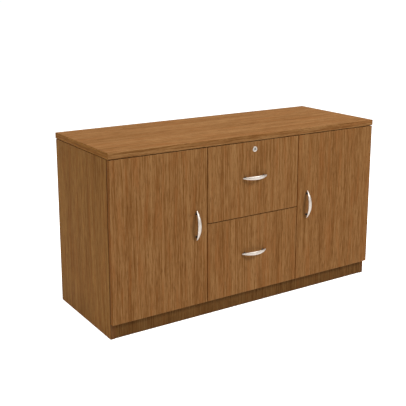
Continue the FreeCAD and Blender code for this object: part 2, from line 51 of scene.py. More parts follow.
import bmesh
import bpy
from bpy.props import FloatProperty, FloatVectorProperty, IntProperty, PointerProperty
from mathutils import Matrix, Vector

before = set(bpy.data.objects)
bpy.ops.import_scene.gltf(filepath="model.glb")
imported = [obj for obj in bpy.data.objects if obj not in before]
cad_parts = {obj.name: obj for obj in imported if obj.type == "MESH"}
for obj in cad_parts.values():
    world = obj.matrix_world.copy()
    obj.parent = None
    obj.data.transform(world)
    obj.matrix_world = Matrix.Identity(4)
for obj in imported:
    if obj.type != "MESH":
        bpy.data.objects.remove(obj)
CAD_LOW, CAD_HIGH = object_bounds()
CENTRE = (CAD_LOW + CAD_HIGH) / 2

MM = 0.001

# Faces and boards that the pieces below sit on, read from the frame
FRONT_FACE_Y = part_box("left_door_panel")[0].y
BOARD_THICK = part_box("left_side_panel")[1].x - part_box("left_side_panel")[0].x
DRAWER_BOARD_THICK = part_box("upper_drawer_sides")[1].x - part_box("upper_drawer_ends")[1].x

# Doors and drawers by body, and the front board of each
DOORS = ("left_door", "right_door")
DRAWERS = ("upper_drawer", "lower_drawer")
FRONTS = {**{door: f"{door}_panel" for door in DOORS}, **{drawer: f"{drawer}_front" for drawer in DRAWERS}}


def linear(hex_colour):
    """Turns an sRGB hex value such as "8B5F36" into linear RGBA."""
    rgba = []
    for start in (0, 2, 4):
        value = int(hex_colour[start:start + 2], 16) / 255
        rgba.append(value / 12.92 if value <= 0.04045 else ((value + 0.055) / 1.055) ** 2.4)
    return (*rgba, 1.0)


def toned(colour, shares):
    """A linear colour scaled by one share for each channel, or by one share for all."""
    each = shares if isinstance(shares, tuple) else (shares,) * 3
    return (*(value * share for value, share in zip(colour, each)), 1.0)


WHITE = linear("FFFFFF")


def add(tree, kind, links=None, take=None, stops=(), **settings):
    """Adds a node and returns its first live output, or the one that take names.

    settings are the node's own properties, links maps its inputs to sockets or constant values, and stops
    are the (position, linear colour) pairs of a colour ramp, the first and last ones first.
    """
    node = tree.nodes.new(kind)
    for name, value in settings.items():
        setattr(node, name, value)
    for index, (position, colour) in enumerate(stops):
        elements = node.color_ramp.elements
        element = elements[index] if index < 2 else elements.new(position)
        element.position = position
        element.color = colour
    for key, value in (links or {}).items():
        live = [socket for socket in node.inputs if socket.enabled]
        socket = live[key] if isinstance(key, int) else next(one for one in live if one.name == key)
        if isinstance(value, bpy.types.NodeSocket):
            tree.links.new(value, socket)
        else:
            socket.default_value = value
    live = [socket for socket in node.outputs if socket.enabled]
    return node.outputs[take] if take else (live[0] if live else None)


def new_material(name):
    """A material with an empty tree, and the Object coordinates that its pattern reads."""
    material = bpy.data.materials.new(name)
    material.use_nodes = True
    tree = material.node_tree
    tree.nodes.clear()
    return material, tree, add(tree, "ShaderNodeTexCoord", take="Object")


# Range that nearly all the values of a noise pattern fall in
NOISE_LOW = 0.3
NOISE_HIGH = 0.7


def textured(tree, tone, pattern, roughness, relief, constants):
    """Ends a material whose gloss and relief both follow one noise pattern.

    roughness is its lowest and highest value, relief the bump's strength and its height in millimetres, and
    constants the values of shader sockets that are the same all over.
    """
    smooth, rough = roughness
    strength, height = relief
    gloss = add(tree, "ShaderNodeMapRange", {"Value": pattern, "From Min": NOISE_LOW, "From Max": NOISE_HIGH,
                                             "To Min": smooth, "To Max": rough})
    bump = add(tree, "ShaderNodeBump", {"Height": pattern, "Strength": strength, "Distance": height * MM})
    shader = add(tree, "ShaderNodeBsdfPrincipled", {"Base Color": tone, "Roughness": gloss, "Normal": bump,
                                                    **constants})
    add(tree, "ShaderNodeOutputMaterial", {"Surface": shader})


# Grain of the print: width across and length along in millimetres, and noise detail. The fibres and pores of
# the real print are about half as wide; they are drawn this coarse so that they show in the render.
GRAIN = {
    "band": (44.0, 1500.0, 1.5),
    "streak": (5.4, 240.0, 2.5),
    "fibre": (2.8, 60.0, 2.0),
    "pore": (2.2, 26.0, 1.0),
    "warmth": (22.0, 220.0, 2.0),
}

# How far the grain strays from a straight line and over what length, in millimetres, and the shift in metres
# from one board's run of the print to the next
GRAIN_WANDER = 6.0
GRAIN_WANDER_LENGTH = 700.0
SEED_STEP = Vector((0.731, 0.517, 0.389))

# Tones of the print against its mean, as shares of red, green and blue
PRINT_TONES = {
    "dark": (0.66, 0.56, 0.42),
    "brown": (0.88, 0.83, 0.75),
    "tan": (1.10, 1.14, 1.20),
    "pale": (1.34, 1.48, 1.68),
    "warmth": (1.06, 0.86, 0.72),
    "pore": (0.50, 0.42, 0.34),
}

# Figure of the print: the streaks' share over the bands, the fibres' share over both, and the noise at which
# each tone stands, the first and last ones first
STREAK_SHARE = 0.70
FIBRE_SHARE = 0.42
FIGURE_STOPS = {"dark": 0.38, "pale": 0.62, "brown": 0.46, "tan": 0.53}

# Patches over the figure: the noise at which each sets in, the noise at which it is full, and its share there
PATCHES = {
    "warmth": (0.50, 0.68, 0.50),
    "pore": (0.56, 0.70, 0.55),
}

# Satin overlay: range of its roughness, strength and height in millimetres of its relief, and its reflection
OVERLAY_ROUGHNESS = (0.42, 0.60)
OVERLAY_RELIEF = (0.12, 0.3)
OVERLAY_REFLECTION = {"IOR": 1.5, "Specular IOR Level": 0.01}

# Share of its normal along an axis from which a face counts as facing that way
FACING = 0.7


def wood_grain(name, along, edge, seed, base, strip="X", painted_strip_tone=1.0):
    """Wood grain: straight, narrow and streaky along one axis, under a satin overlay.

    Soft bands, narrow streaks, fine fibres and short dark pores run along one axis; on the end edges they
    run along the edge instead, as on a strip of edge band. The pores break up the even satin gloss.
    strip is the axis that the edge strips face; their share of the tone, given after it, is painted light and
    shade on those edges by the way they face.
    """
    material, tree, coords = new_material(name)
    tones = {key: toned(base, shares) for key, shares in PRINT_TONES.items()}
    shifted = add(tree, "ShaderNodeMapping", {"Vector": coords, "Location": SEED_STEP * seed})
    parts = add(tree, "ShaderNodeSeparateXYZ", {0: shifted}).node.outputs
    swapped = {axis: axis for axis in "XYZ"}
    swapped[along], swapped[edge] = edge, along
    end_place = add(tree, "ShaderNodeCombineXYZ", {axis: parts[swapped[axis]] for axis in "XYZ"})
    normal = add(tree, "ShaderNodeTexCoord", take="Normal")
    facing = add(tree, "ShaderNodeSeparateXYZ", {0: normal}).node.outputs
    faces = {}
    for axis in (along, strip):
        steep = add(tree, "ShaderNodeMath", {0: facing[axis]}, operation="ABSOLUTE")
        faces[axis] = add(tree, "ShaderNodeMath", {0: steep, 1: FACING}, operation="GREATER_THAN")
    laid = add(tree, "ShaderNodeMix", {"Factor": faces[along], "A": shifted, "B": end_place},
               data_type="VECTOR")
    wander = add(tree, "ShaderNodeTexNoise", {"Vector": laid, "Scale": 1 / (GRAIN_WANDER_LENGTH * MM),
                                              "Detail": 1.0}, take="Color")
    push = add(tree, "ShaderNodeVectorMath", {0: wander, "Scale": GRAIN_WANDER * MM}, operation="SCALE")
    place = add(tree, "ShaderNodeVectorMath", {0: laid, 1: push}, operation="ADD")
    grain = {}
    for feature, (width, length, detail) in GRAIN.items():
        scale = [1 / (width * MM)] * 3
        scale["XYZ".index(along)] = 1 / (length * MM)
        drawn = add(tree, "ShaderNodeVectorMath", {0: place, 1: scale}, operation="MULTIPLY")
        grain[feature] = add(tree, "ShaderNodeTexNoise", {"Vector": drawn, "Scale": 1.0, "Detail": detail})
    broad = add(tree, "ShaderNodeMix", {"Factor": STREAK_SHARE, "A": grain["band"], "B": grain["streak"]})
    figure = add(tree, "ShaderNodeMix", {"Factor": FIBRE_SHARE, "A": broad, "B": grain["fibre"]})
    printed = add(tree, "ShaderNodeValToRGB", {"Fac": figure},
                  stops=[(stop, tones[key]) for key, stop in FIGURE_STOPS.items()])
    for feature, (start, full, share) in PATCHES.items():
        cover = add(tree, "ShaderNodeMapRange", {"Value": grain[feature], "From Min": start, "From Max": full,
                                                 "To Max": share})
        printed = add(tree, "ShaderNodeMix", {"Factor": cover, "A": printed, "B": tones[feature]},
                      data_type="RGBA")
    # Painted light and shade: the edge strips that face the strip axis take their own share of the tone
    shade = toned(WHITE, painted_strip_tone)
    tone = add(tree, "ShaderNodeMix", {"Factor": faces[strip], "A": printed, "B": shade},
               data_type="RGBA", blend_type="MULTIPLY")
    texture = add(tree, "ShaderNodeMix", {"Factor": 0.5, "A": grain["fibre"], "B": grain["pore"]})
    textured(tree, tone, texture, OVERLAY_ROUGHNESS, OVERLAY_RELIEF, OVERLAY_REFLECTION)
    return material


# Plated metal: size of its drift in tone in millimetres, the noise at which its shaded and its full tone
# stand, the range of its roughness as shares, and the strength and height in millimetres of its lines
METAL_DRIFT = 18.0
METAL_STOPS = (0.35, 0.62)
METAL_ROUGHNESS = (0.85, 1.2)
METAL_RELIEF = (0.05, 0.1)


def plated_metal(name, colour, shade, roughness, brush):
    """Plated or cast metal: fine brush lines along one axis and a slight drift in tone.

    shade is the share of the tone left in the lines. brush is the line spacing in millimetres along X, Y and
    Z; a large value draws the lines out that way.
    """
    material, tree, coords = new_material(name)
    drawn = add(tree, "ShaderNodeVectorMath", {0: coords, 1: [1 / (size * MM) for size in brush]},
                operation="MULTIPLY")
    lines = add(tree, "ShaderNodeTexNoise", {"Vector": drawn, "Scale": 1.0, "Detail": 2.0})
    drift = add(tree, "ShaderNodeTexNoise", {"Vector": coords, "Scale": 1 / (METAL_DRIFT * MM),
                                             "Detail": 1.0})
    mixed = add(tree, "ShaderNodeMix", {"Factor": 0.5, "A": lines, "B": drift})
    tones = (toned(colour, shade), toned(colour, 1.0))
    tone = add(tree, "ShaderNodeValToRGB", {"Fac": mixed}, stops=list(zip(METAL_STOPS, tones)))
    textured(tree, tone, lines, [roughness * share for share in METAL_ROUGHNESS], METAL_RELIEF,
             {"Metallic": 1.0})
    return material


# Plastic: the noise at which its shaded and its full tone stand, the range of its roughness as shares, the
# strength and height in millimetres of its grit, and its reflection
PLASTIC_STOPS = (0.36, 0.64)
PLASTIC_ROUGHNESS = (0.9, 1.15)
PLASTIC_RELIEF = (0.1, 0.2)
PLASTIC_REFLECTION = {"IOR": 1.5}


def moulded(name, colour, shade, roughness, grit):
    """Moulded or pressed plastic: a fine even grit, in millimetres, that softens its gloss and tone."""
    material, tree, coords = new_material(name)
    speck = add(tree, "ShaderNodeTexNoise", {"Vector": coords, "Scale": 1 / (grit * MM), "Detail": 3.0})
    tones = (toned(colour, shade), toned(colour, 1.0))
    tone = add(tree, "ShaderNodeValToRGB", {"Fac": speck}, stops=list(zip(PLASTIC_STOPS, tones)))
    textured(tree, tone, speck, [roughness * share for share in PLASTIC_ROUGHNESS], PLASTIC_RELIEF,
             PLASTIC_REFLECTION)
    return material


# Studio paper: size of its fibre in millimetres, its two tones, its reflection, and the distances in metres
# from the cabinet between which its light falls off
PAPER_FIBRE = 40.0
PAPER_TONES = ("CACAC9", "D0D0CF")
PAPER_REFLECTION = {"Roughness": 0.9, "Specular IOR Level": 0.1}
PAPER_NEAR = 0.6
PAPER_FAR = 1.8


def seamless_paper(name, glow, near_glow):
    """Matt white studio paper: lit through from below, most near the cabinet, with a barely visible fibre."""
    material, tree, coords = new_material(name)
    fibre = add(tree, "ShaderNodeTexNoise", {"Vector": coords, "Scale": 1 / (PAPER_FIBRE * MM),
                                             "Detail": 2.0})
    tone = add(tree, "ShaderNodeValToRGB", {"Fac": fibre},
               stops=[(stop, linear(colour)) for stop, colour in enumerate(PAPER_TONES)])
    distance = add(tree, "ShaderNodeVectorMath", {0: coords}, take="Value", operation="LENGTH")
    light = add(tree, "ShaderNodeMapRange", {"Value": distance, "From Min": PAPER_NEAR, "From Max": PAPER_FAR,
                                             "To Min": near_glow, "To Max": glow})
    shader = add(tree, "ShaderNodeBsdfPrincipled", {"Base Color": tone, "Emission Color": WHITE,
                                                    "Emission Strength": light, **PAPER_REFLECTION})
    add(tree, "ShaderNodeOutputMaterial", {"Surface": shader})
    return material


# Boards by laminate: the axis its grain runs along, the axis it takes on end edges, and its boards in groups
# that share one run of the print
BOARDS = {
    "top": ("X", "Y", [("top_panel",)]),
    "top_edge": ("X", "Y", [("top_edge_band",)]),
    "front": ("Z", "X", [(panel, f"{body}_edge_band") for body, panel in FRONTS.items()]),
    "side": ("Z", "Y", [("left_side_panel",), ("right_side_panel",), ("partitions",)]),
    "lining": ("X", "Y", [("bottom_panel", "front_top_rail"), ("shelves",)]),
    "back": ("Z", "X", [("back_panel", "rear_plinth")]),
    "kick": ("Z", "X", [("toe_kick",)]),
}

# Edge strips by laminate, with painted light and shade: the axis they face, and their share of its red, green
# and blue
EDGE_LIGHT_AND_SHADE = {
    # The top's end edges: lightened, painted light for the little key light that reaches them
    "top_edge": ("X", (1.46, 1.33, 0.85)),
    # The fronts' side edges: warmer and less blue, painted light and shade for how light falls on them
    "front": ("X", (1.14, 0.92, 0.54)),
    # The front and back edges of the sides and partitions: darkened, painted shade under the fronts
    "side": ("Y", (0.45, 0.45, 0.68)),
}

# Fittings by finish
FITTINGS = {
    "nickel": [f"{body}_handle" for body in FRONTS] + ["lock_housing", "lock_plug"],
    "hinge": ["hinge_arms", "hinge_plates"]
             + [f"{door}_{part}" for door in DOORS for part in ("hinge_cups", "hinge_pins")],
    "zinc": ["cam_locks", "cam_bolts", "shelf_pins", "leveling_brackets", "hinge_plate_screws", "lock_strike",
             "lock_nut", "lock_cam", "slide_outer_members", "upper_slide_mid_members",
             "lower_slide_mid_members"]
            + [f"{body}_handle_screws" for body in FRONTS]
            + [f"{drawer}_{part}" for drawer in DRAWERS for part in ("file_rails", "slide_members")],
    "polyamide": ["leveling_glides"],
    "bumper": [f"{door}_bumpers" for door in DOORS],
    "beech": ["dowels"],
    "melamine": [f"{drawer}_{part}" for drawer in DRAWERS for part in ("sides", "ends", "bottom")],
}


def fitting_finish(key):
    """The finish of a group of fittings, made at its first use."""
    nickel = bpy.context.scene.cabinet_finish.nickel[:]
    finishes = {
        # Electroplated and brushed zinc casting: pale, warm, with a soft broken highlight
        "nickel": ("Satin nickel plate", plated_metal,
                   dict(colour=nickel, shade=0.84, roughness=0.52, brush=(0.6, 0.6, 0.6))),
        # Plated pressed steel: brighter and smoother than the pulls
        "hinge": ("Bright nickel-plated steel", plated_metal,
                  dict(colour=linear("CFCDC8"), shade=0.78, roughness=0.22, brush=(6.0, 1.2, 6.0))),
        # Rolled steel strip under clear zinc: bluish grey, drawn along the slides
        "zinc": ("Clear zinc-plated steel", plated_metal,
                 dict(colour=linear("B9BDC0"), shade=0.70, roughness=0.36, brush=(1.5, 40.0, 1.5))),
        # Injection-moulded feet: black, slightly chalky
        "polyamide": ("Black polyamide, moulded", moulded,
                      dict(colour=linear("1D1D1F"), shade=0.70, roughness=0.50, grit=0.8)),
        # Soft clear dots: pale and glossy
        "bumper": ("Clear polyurethane bumper, cast", moulded,
                   dict(colour=linear("DAD9D2"), shade=0.92, roughness=0.25, grit=1.5)),
        # Turned hardwood: a fine short grain
        "beech": ("Beech, turned", wood_grain, dict(along="X", edge="Y", seed=40, base=linear("C79A68"))),
        # Pressed white melamine on board: a fine pearl texture
        "melamine": ("White melamine board, pressed", moulded,
                     dict(colour=linear("D9D5CB"), shade=0.93, roughness=0.42, grit=1.2)),
        # Machined die casting inside the lock: duller and darker than the plate around it
        "plug": ("Zinc die casting, machined", plated_metal,
                 dict(colour=linear("A29D96"), shade=0.70, roughness=0.42, brush=(0.6, 0.6, 4.0))),
        # Turned posts of the pulls: painted shade, near black for the shadow at the pulls' tips, with a dull
        # sheen
        "post": ("Blackened steel, turned", plated_metal,
                 dict(colour=linear("4B453E"), shade=0.75, roughness=0.48, brush=(0.8, 2.0, 0.8))),
        # Pin chamber behind the key slot: painted shade, near black for the dark inside the slot
        "chamber": ("Oxidised brass, broached", plated_metal,
                    dict(colour=linear("1B1712"), shade=0.50, roughness=0.60, brush=(0.5, 3.0, 0.5))),
    }
    name, make, values = finishes[key]
    return bpy.data.materials.get(name) or make(name, **values)


def set_finish(node, material):
    """Gives a CAD node's object one material, and leaves its mesh alone."""
    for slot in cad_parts[node].material_slots:
        slot.material = material


def around(steps):
    """Angles of evenly spaced points around a circle."""
    return [2 * math.pi * step / steps for step in range(steps)]


def skin(bm, rings, closed=False):
    """Joins rings of points, each with one point or the same number of points, into one skin."""
    made = [[bm.verts.new(point) for point in ring] for ring in rings]
    pairs = list(zip(made, made[1:] + made[:1])) if closed else list(zip(made, made[1:]))
    for first, second in pairs:
        count = max(len(first), len(second))
        for index in range(count):
            after = (index + 1) % count
            corners = [first[index % len(first)], first[after % len(first)],
                       second[after % len(second)], second[index % len(second)]]
            bm.faces.new(list(dict.fromkeys(corners)))


def turned(bm, profile, x, z, steps, closed=False):
    """A body turned about an axis along Y through (x, z); profile is (radius, y) pairs."""
    rings = []
    for radius, y in profile:
        angles = around(steps) if radius else [0.0]
        rings.append([Vector((x + radius * math.cos(a), y, z + radius * math.sin(a))) for a in angles])
    skin(bm, rings, closed)


# Finished meshes: points closer than this are one, and edges sharper than this stay sharp in the shading
WELD_DISTANCE = 0.001 * MM
SHARP_ANGLE = math.radians(35)


def new_piece(name, bm, materials, body, replaced=()):
    """Makes the finished mesh an object that rides on a body and stands for the CAD nodes it replaces."""
    bmesh.ops.remove_doubles(bm, verts=bm.verts, dist=WELD_DISTANCE)
    bmesh.ops.recalc_face_normals(bm, faces=bm.faces)
    mesh = bpy.data.meshes.new(name)
    bm.to_mesh(mesh)
    bm.free()
    for material in materials:
        mesh.materials.append(material)
    mesh.shade_smooth()
    mesh.set_sharp_from_angle(angle=SHARP_ANGLE)
    obj = bpy.data.objects.new(name, mesh)
    bpy.context.collection.objects.link(obj)
    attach(obj, body)
    if replaced:
        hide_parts(*replaced)


class CabinetFinish(bpy.types.PropertyGroup):
    """Base tone of each finish; the print, grain and brush lines vary around it. The top, the fronts and the
    sides are one laminate, with tones set apart for how light falls on each: the laminate's own tone with
    painted light and shade in it.
    """
    top: FloatVectorProperty(name="Top", description="Mean tone of the top's laminate", subtype="COLOR",
                             size=4, min=0, max=1, default=linear("7A5531"))
    # Painted shade: the top's edge band is set darker than the top, close to the fronts, to offset the key
    # light on its front face
    top_edge: FloatVectorProperty(name="Top's edge", description="Mean tone of the top's edge band",
                                  subtype="COLOR", size=4, min=0, max=1, default=linear("684727"))
    front: FloatVectorProperty(name="Fronts", description="Mean tone of the doors and drawer fronts",
                               subtype="COLOR", size=4, min=0, max=1, default=linear("694828"))
    side: FloatVectorProperty(name="Sides", description="Mean tone of the sides, the lining and the back",
                              subtype="COLOR", size=4, min=0, max=1, default=linear("7A5327"))
    # Painted shade: the toe kick is set much darker than the sides, for the shade under the overhanging
    # fronts
    kick: FloatVectorProperty(name="Toe kick", description="Mean tone of the board under the fronts",
                              subtype="COLOR", size=4, min=0, max=1, default=linear("4F351A"))
    nickel: FloatVectorProperty(name="Pulls and lock", description="Tone of the satin nickel plate",
                                subtype="COLOR", size=4, min=0, max=1, default=linear("B9B0A7"))


class PullSizes(bpy.types.PropertyGroup):
    """Sizes of the bow pulls."""
    length: FloatProperty(name="Length", description="Chord between the tips", unit="LENGTH", default=0.122)
    rise: FloatProperty(name="Rise", description="Height of the bow over its tips", unit="LENGTH",
                        default=0.0215)
    width: FloatProperty(name="Width", description="Width at the middle", unit="LENGTH", default=0.016)
    tip_width: FloatProperty(name="Tip width", description="Width at the tips", unit="LENGTH", default=0.0048)
    thick: FloatProperty(name="Thickness", description="Thickness at the middle", unit="LENGTH",
                         default=0.006)
    tip_thick: FloatProperty(name="Tip thickness", description="Thickness at the tips", unit="LENGTH",
                             default=0.0032)
    centres: FloatProperty(name="Post centres", description="Distance between the posts", unit="LENGTH",
                           default=0.096)
    post_radius: FloatProperty(name="Post radius", description="Radius of a post", unit="LENGTH",
                               default=0.0035)
    foot_radius: FloatProperty(name="Foot radius", description="Radius of a post's foot on the front",
                               unit="LENGTH", default=0.0047)


class LockSizes(bpy.types.PropertyGroup):
    """Sizes of the lock's face."""
    plug_radius: FloatProperty(name="Plug radius", description="Radius of the turning plug", unit="LENGTH",
                               default=0.0065)
    body_radius: FloatProperty(name="Body radius", description="Radius of the barrel in the front",
                               unit="LENGTH", default=0.0095)
    dish: FloatProperty(name="Dish", description="Depth of the plug's face under its rim", unit="LENGTH",
                        default=0.0009)
    key_width: FloatProperty(name="Key slot width", description="Width of the key slot", unit="LENGTH",
                             default=0.0034)
    key_height: FloatProperty(name="Key slot height", description="Height of the key slot", unit="LENGTH",
                              default=0.009)
    key_depth: FloatProperty(name="Key slot depth", description="Depth of the key slot", unit="LENGTH",
                             default=0.006)


class ScrewSizes(bpy.types.PropertyGroup):
    """Sizes of the screw heads on the back, on the hinge arms and inside the drawers."""
    head_radius: FloatProperty(name="Head radius", description="Radius of a screw head", unit="LENGTH",
                               default=0.0042)
    head_height: FloatProperty(name="Head height", description="Height of a screw head over its board",
                               unit="LENGTH", default=0.0018)
    slot_width: FloatProperty(name="Recess width", description="Width of the cross recess's arms",
                              unit="LENGTH", default=0.0012)
    upright_count: IntProperty(name="Screws up a partition", description="Screws in an upright row",
                               min=2, default=5)
    level_count: IntProperty(name="Screws along the floor", description="Screws in the row along the bottom",
                             min=2, default=7)


class StageLight(bpy.types.PropertyGroup):
    """Light of the studio."""
    sky: FloatProperty(name="Dome", description="Strength of the even white dome", min=0, default=0.30)
    key: FloatProperty(name="Key", description="Power of the key light at the upper right front",
                       unit="POWER", min=0, default=780.0)
    overhead: FloatProperty(name="Overhead", description="Power of the broad light over the top",
                            unit="POWER", min=0, default=500.0)
    paper: FloatProperty(name="Paper", description="Light that the floor paper gives off", min=0,
                         default=0.85)
    paper_near: FloatProperty(name="Paper at the cabinet", description="Light of the paper near the cabinet",
                              min=0, default=1.0)


class CABINET_OT_boards(bpy.types.Operator):
    """Lays the wood-grain laminate on every board, each with its own run of the print"""
    bl_idname = "cabinet.boards"
    bl_label = "Laminate boards"

    def execute(self, context):
        finish = context.scene.cabinet_finish
        seed = 0
        for key, (along, edge, groups) in BOARDS.items():
            # The lining and the back have no tone of their own, and take that of the sides
            base = getattr(finish, key, finish.side)[:]
            for nodes in groups:
                seed += 1
                name = f"Wood-grain melamine laminate, {nodes[0].replace('_', ' ')}"
                material = wood_grain(name, along, edge, seed, base, *EDGE_LIGHT_AND_SHADE.get(key, ()))
                for node in nodes:
                    set_finish(node, material)
        return {"FINISHED"}


class CABINET_OT_fittings(bpy.types.Operator):
    """Gives the hinges, slides, joint fittings, glides and drawer boxes their finishes"""
    bl_idname = "cabinet.fittings"
    bl_label = "Fittings and drawer boxes"

    def execute(self, context):
        for key, nodes in FITTINGS.items():
            for node in nodes:
                set_finish(node, fitting_finish(key))
        return {"FINISHED"}


# Mesh of a pull: rings from its middle to a tip, points around its bow and its posts, and the angles in
# degrees at which the rings of a rounded tip stand
PULL_RINGS = 24
PULL_STEPS = 28
TIP_ANGLES = (22, 42, 60, 75, 90)

# Foot of a post: heights over the front of its rim, its shoulder and its neck, and the shoulder's share of
# its radius
FOOT_RIM = 0.8 * MM
FOOT_SHOULDER = 1.4 * MM
FOOT_NECK = 3.2 * MM
SHOULDER_SHARE = 0.9


class CABINET_OT_pulls(bpy.types.Operator):
    """Builds the four crescent bow pulls with their flared posts"""
    bl_idname = "cabinet.pulls"
    bl_label = "Bow pulls"

    def execute(self, context):
        for body in FRONTS:
            self.build(context.scene.cabinet_pulls, body)
        return {"FINISHED"}

    def build(self, sizes, body):
        """Builds one pull lying level at the middle, then turns it on a door and moves it to its place."""
        low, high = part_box(f"{body}_handle")
        centre = (low + high) / 2
        half = sizes.length / 2
        radius = (half ** 2 + sizes.rise ** 2) / (2 * sizes.rise)
        hub = Vector((0, low.y + sizes.thick / 2 + radius, 0))
        bm = bmesh.new()
        skin(bm, self.bow_rings(sizes, hub, radius, math.asin(half / radius)))
        bow_faces = len(bm.faces)
        reach = sizes.centres / 2
        post_top = hub.y - math.sqrt(radius ** 2 - reach ** 2)
        post = [(0, FRONT_FACE_Y), (sizes.foot_radius, FRONT_FACE_Y),
                (sizes.foot_radius, FRONT_FACE_Y - FOOT_RIM),
                (sizes.foot_radius * SHOULDER_SHARE, FRONT_FACE_Y - FOOT_SHOULDER),
                (sizes.post_radius, FRONT_FACE_Y - FOOT_NECK), (sizes.post_radius, post_top), (0, post_top)]
        for x in (-reach, reach):
            turned(bm, post, x, 0, PULL_STEPS)
        # The posts take the near-black finish, painted shade at the pulls' tips
        bm.faces.ensure_lookup_table()
        for post_face in bm.faces[bow_faces:]:
            post_face.material_index = 1
        turn = Matrix.Rotation(math.pi / 2, 4, "Y") if body in DOORS else Matrix.Identity(4)
        place = Matrix.Translation((centre.x, 0, centre.z)) @ turn
        bmesh.ops.transform(bm, matrix=place, verts=bm.verts)
        finishes = [fitting_finish("nickel"), fitting_finish("post")]
        new_piece(f"{body}_bow_pull", bm, finishes, body, [f"{body}_handle"])

    def bow_rings(self, sizes, hub, radius, end_angle):
        """Rings of the bow from tip to tip, widest and thickest at the middle, with a rounded end at each."""
        stations = [(step / PULL_RINGS, 0) for step in range(-PULL_RINGS, PULL_RINGS + 1)]
        first_tip = [(-1, tip) for tip in reversed(TIP_ANGLES)]
        last_tip = [(1, tip) for tip in TIP_ANGLES]
        rings = []
        for share, tip in first_tip + stations + last_tip:
            fullness = 1 - share ** 2
            wide = (sizes.tip_width + (sizes.width - sizes.tip_width) * fullness) / 2
            thick = (sizes.tip_thick + (sizes.thick - sizes.tip_thick) * fullness) / 2
            angle = end_angle * share
            outward = Vector((math.sin(angle), -math.cos(angle), 0))
            onward = Vector((math.cos(angle), math.sin(angle), 0)) * share
            middle = hub + outward * radius + onward * (thick * math.sin(math.radians(tip)))
            swell = math.cos(math.radians(tip))
            angles = around(PULL_STEPS) if tip < TIP_ANGLES[-1] else [0.0]
            rings.append([middle + outward * (thick * swell * math.cos(a))
                          + Vector((0, 0, wide * swell * math.sin(a))) for a in angles])
        return rings


# Lock's face in millimetres: the play around its plug, its lip as (out from the bore, back from the face) and
# its bevel as (in from the rim, back from the face); and the points around it
PLUG_PLAY = 0.15
LOCK_LIP = ((0.0, 0.6), (0.5, 0.0))
LOCK_BEVEL = ((1.6, 0.0), (0.5, 0.4), (0.0, 1.2))
LOCK_STEPS = 56

# Plug in millimetres: its raised rim as (in from its edge, back from the face), how far in the dish's floor
# ends, and the radius and length of its tail; and the points around it
PLUG_RIM = ((0.6, 0.2), (0.25, 0.2), (0.0, 0.5))
DISH_INSET = 1.3
TAIL_RADIUS = 2.8
TAIL_LENGTH = 2.5
PLUG_STEPS = 48

# Least share that the key slot's outline divides by
TINY = 1e-6


class CABINET_OT_lock(bpy.types.Operator):
    """Builds the drawer lock's bevelled face and its dished plug with a key slot"""
    bl_idname = "cabinet.lock"
    bl_label = "Drawer lock"

    def execute(self, context):
        sizes = context.scene.cabinet_lock
        low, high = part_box("lock_housing")
        x, z = (low.x + high.x) / 2, (low.z + high.z) / 2
        face_radius = (high.x - low.x) / 2
        bore = sizes.plug_radius + PLUG_PLAY * MM
        lip = [(bore + out * MM, low.y + back * MM) for out, back in LOCK_LIP]
        bevel = [(face_radius - inset * MM, low.y + back * MM) for inset, back in LOCK_BEVEL]
        barrel = [(face_radius, FRONT_FACE_Y), (sizes.body_radius, FRONT_FACE_Y),
                  (sizes.body_radius, high.y), (bore, high.y)]
        bm = bmesh.new()
        turned(bm, lip + bevel + barrel, x, z, LOCK_STEPS, closed=True)
        new_piece("lock_bezel", bm, [fitting_finish("nickel")], "upper_drawer",
                  ["lock_housing"])
        self.build_plug(sizes, x, z)
        return {"FINISHED"}

    def build_plug(self, sizes, x, z):
        """Builds the plug as one skin: the key slot, the dish, the rim, the side and the tail."""
        low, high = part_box("lock_plug")
        rim = sizes.plug_radius
        floor = low.y + sizes.dish
        chamber = floor + sizes.key_depth
        shoulder = high.y - TAIL_LENGTH * MM
        circle = [(math.cos(angle), math.sin(angle)) for angle in around(PLUG_STEPS)]
        half_width = sizes.key_width / 2
        half_height = sizes.key_height / 2
        slot = []
        for across, up in circle:
            reach = min(half_width / max(abs(across), TINY), half_height / max(abs(up), TINY))
            slot.append((across * reach, up * reach))
        slot_rings = [[Vector((x + px, y, z + pz)) for px, pz in slot] for y in (chamber, floor)]
        raised = [(rim - inset * MM, low.y + back * MM) for inset, back in PLUG_RIM]
        tail = [(TAIL_RADIUS * MM, shoulder), (TAIL_RADIUS * MM, high.y)]
        round_rings = [[Vector((x + radius * across, y, z + radius * up)) for across, up in circle]
                       for radius, y in [(rim - DISH_INSET * MM, floor), *raised, (rim, shoulder), *tail]]
        bm = bmesh.new()
        skin(bm, [[Vector((x, chamber, z))], *slot_rings, *round_rings, [Vector((x, high.y, z))]])
        # The key slot's floor and walls take the near-black finish, painted shade inside the slot
        bm.faces.ensure_lookup_table()
        for chamber_face in bm.faces[:2 * PLUG_STEPS]:
            chamber_face.material_index = 1
        new_piece("lock_plug_face", bm, [fitting_finish("plug"), fitting_finish("chamber")], "lock",
                  ["lock_plug"])


# Inputs of the screw tree by name and socket kind, and the seed of the screws' turns
SCREW_INPUTS = [
    ("Count", "NodeSocketInt"),
    ("Start", "NodeSocketVector"),
    ("Step", "NodeSocketVector"),
    ("Turn", "NodeSocketRotation"),
    ("Head Radius", "NodeSocketFloat"),
    ("Head Height", "NodeSocketFloat"),
    ("Recess Width", "NodeSocketFloat"),
    ("Metal", "NodeSocketMaterial"),
]
SCREW_SEED = 7

# Screw heads: points around, the crown's share of the radius, and the recess's length and its middle's height
# as shares of the head's radius and height
SCREW_STEPS = 20
CROWN_SHARE = 0.62
RECESS_LENGTH = 1.05
RECESS_RAISE = 0.9


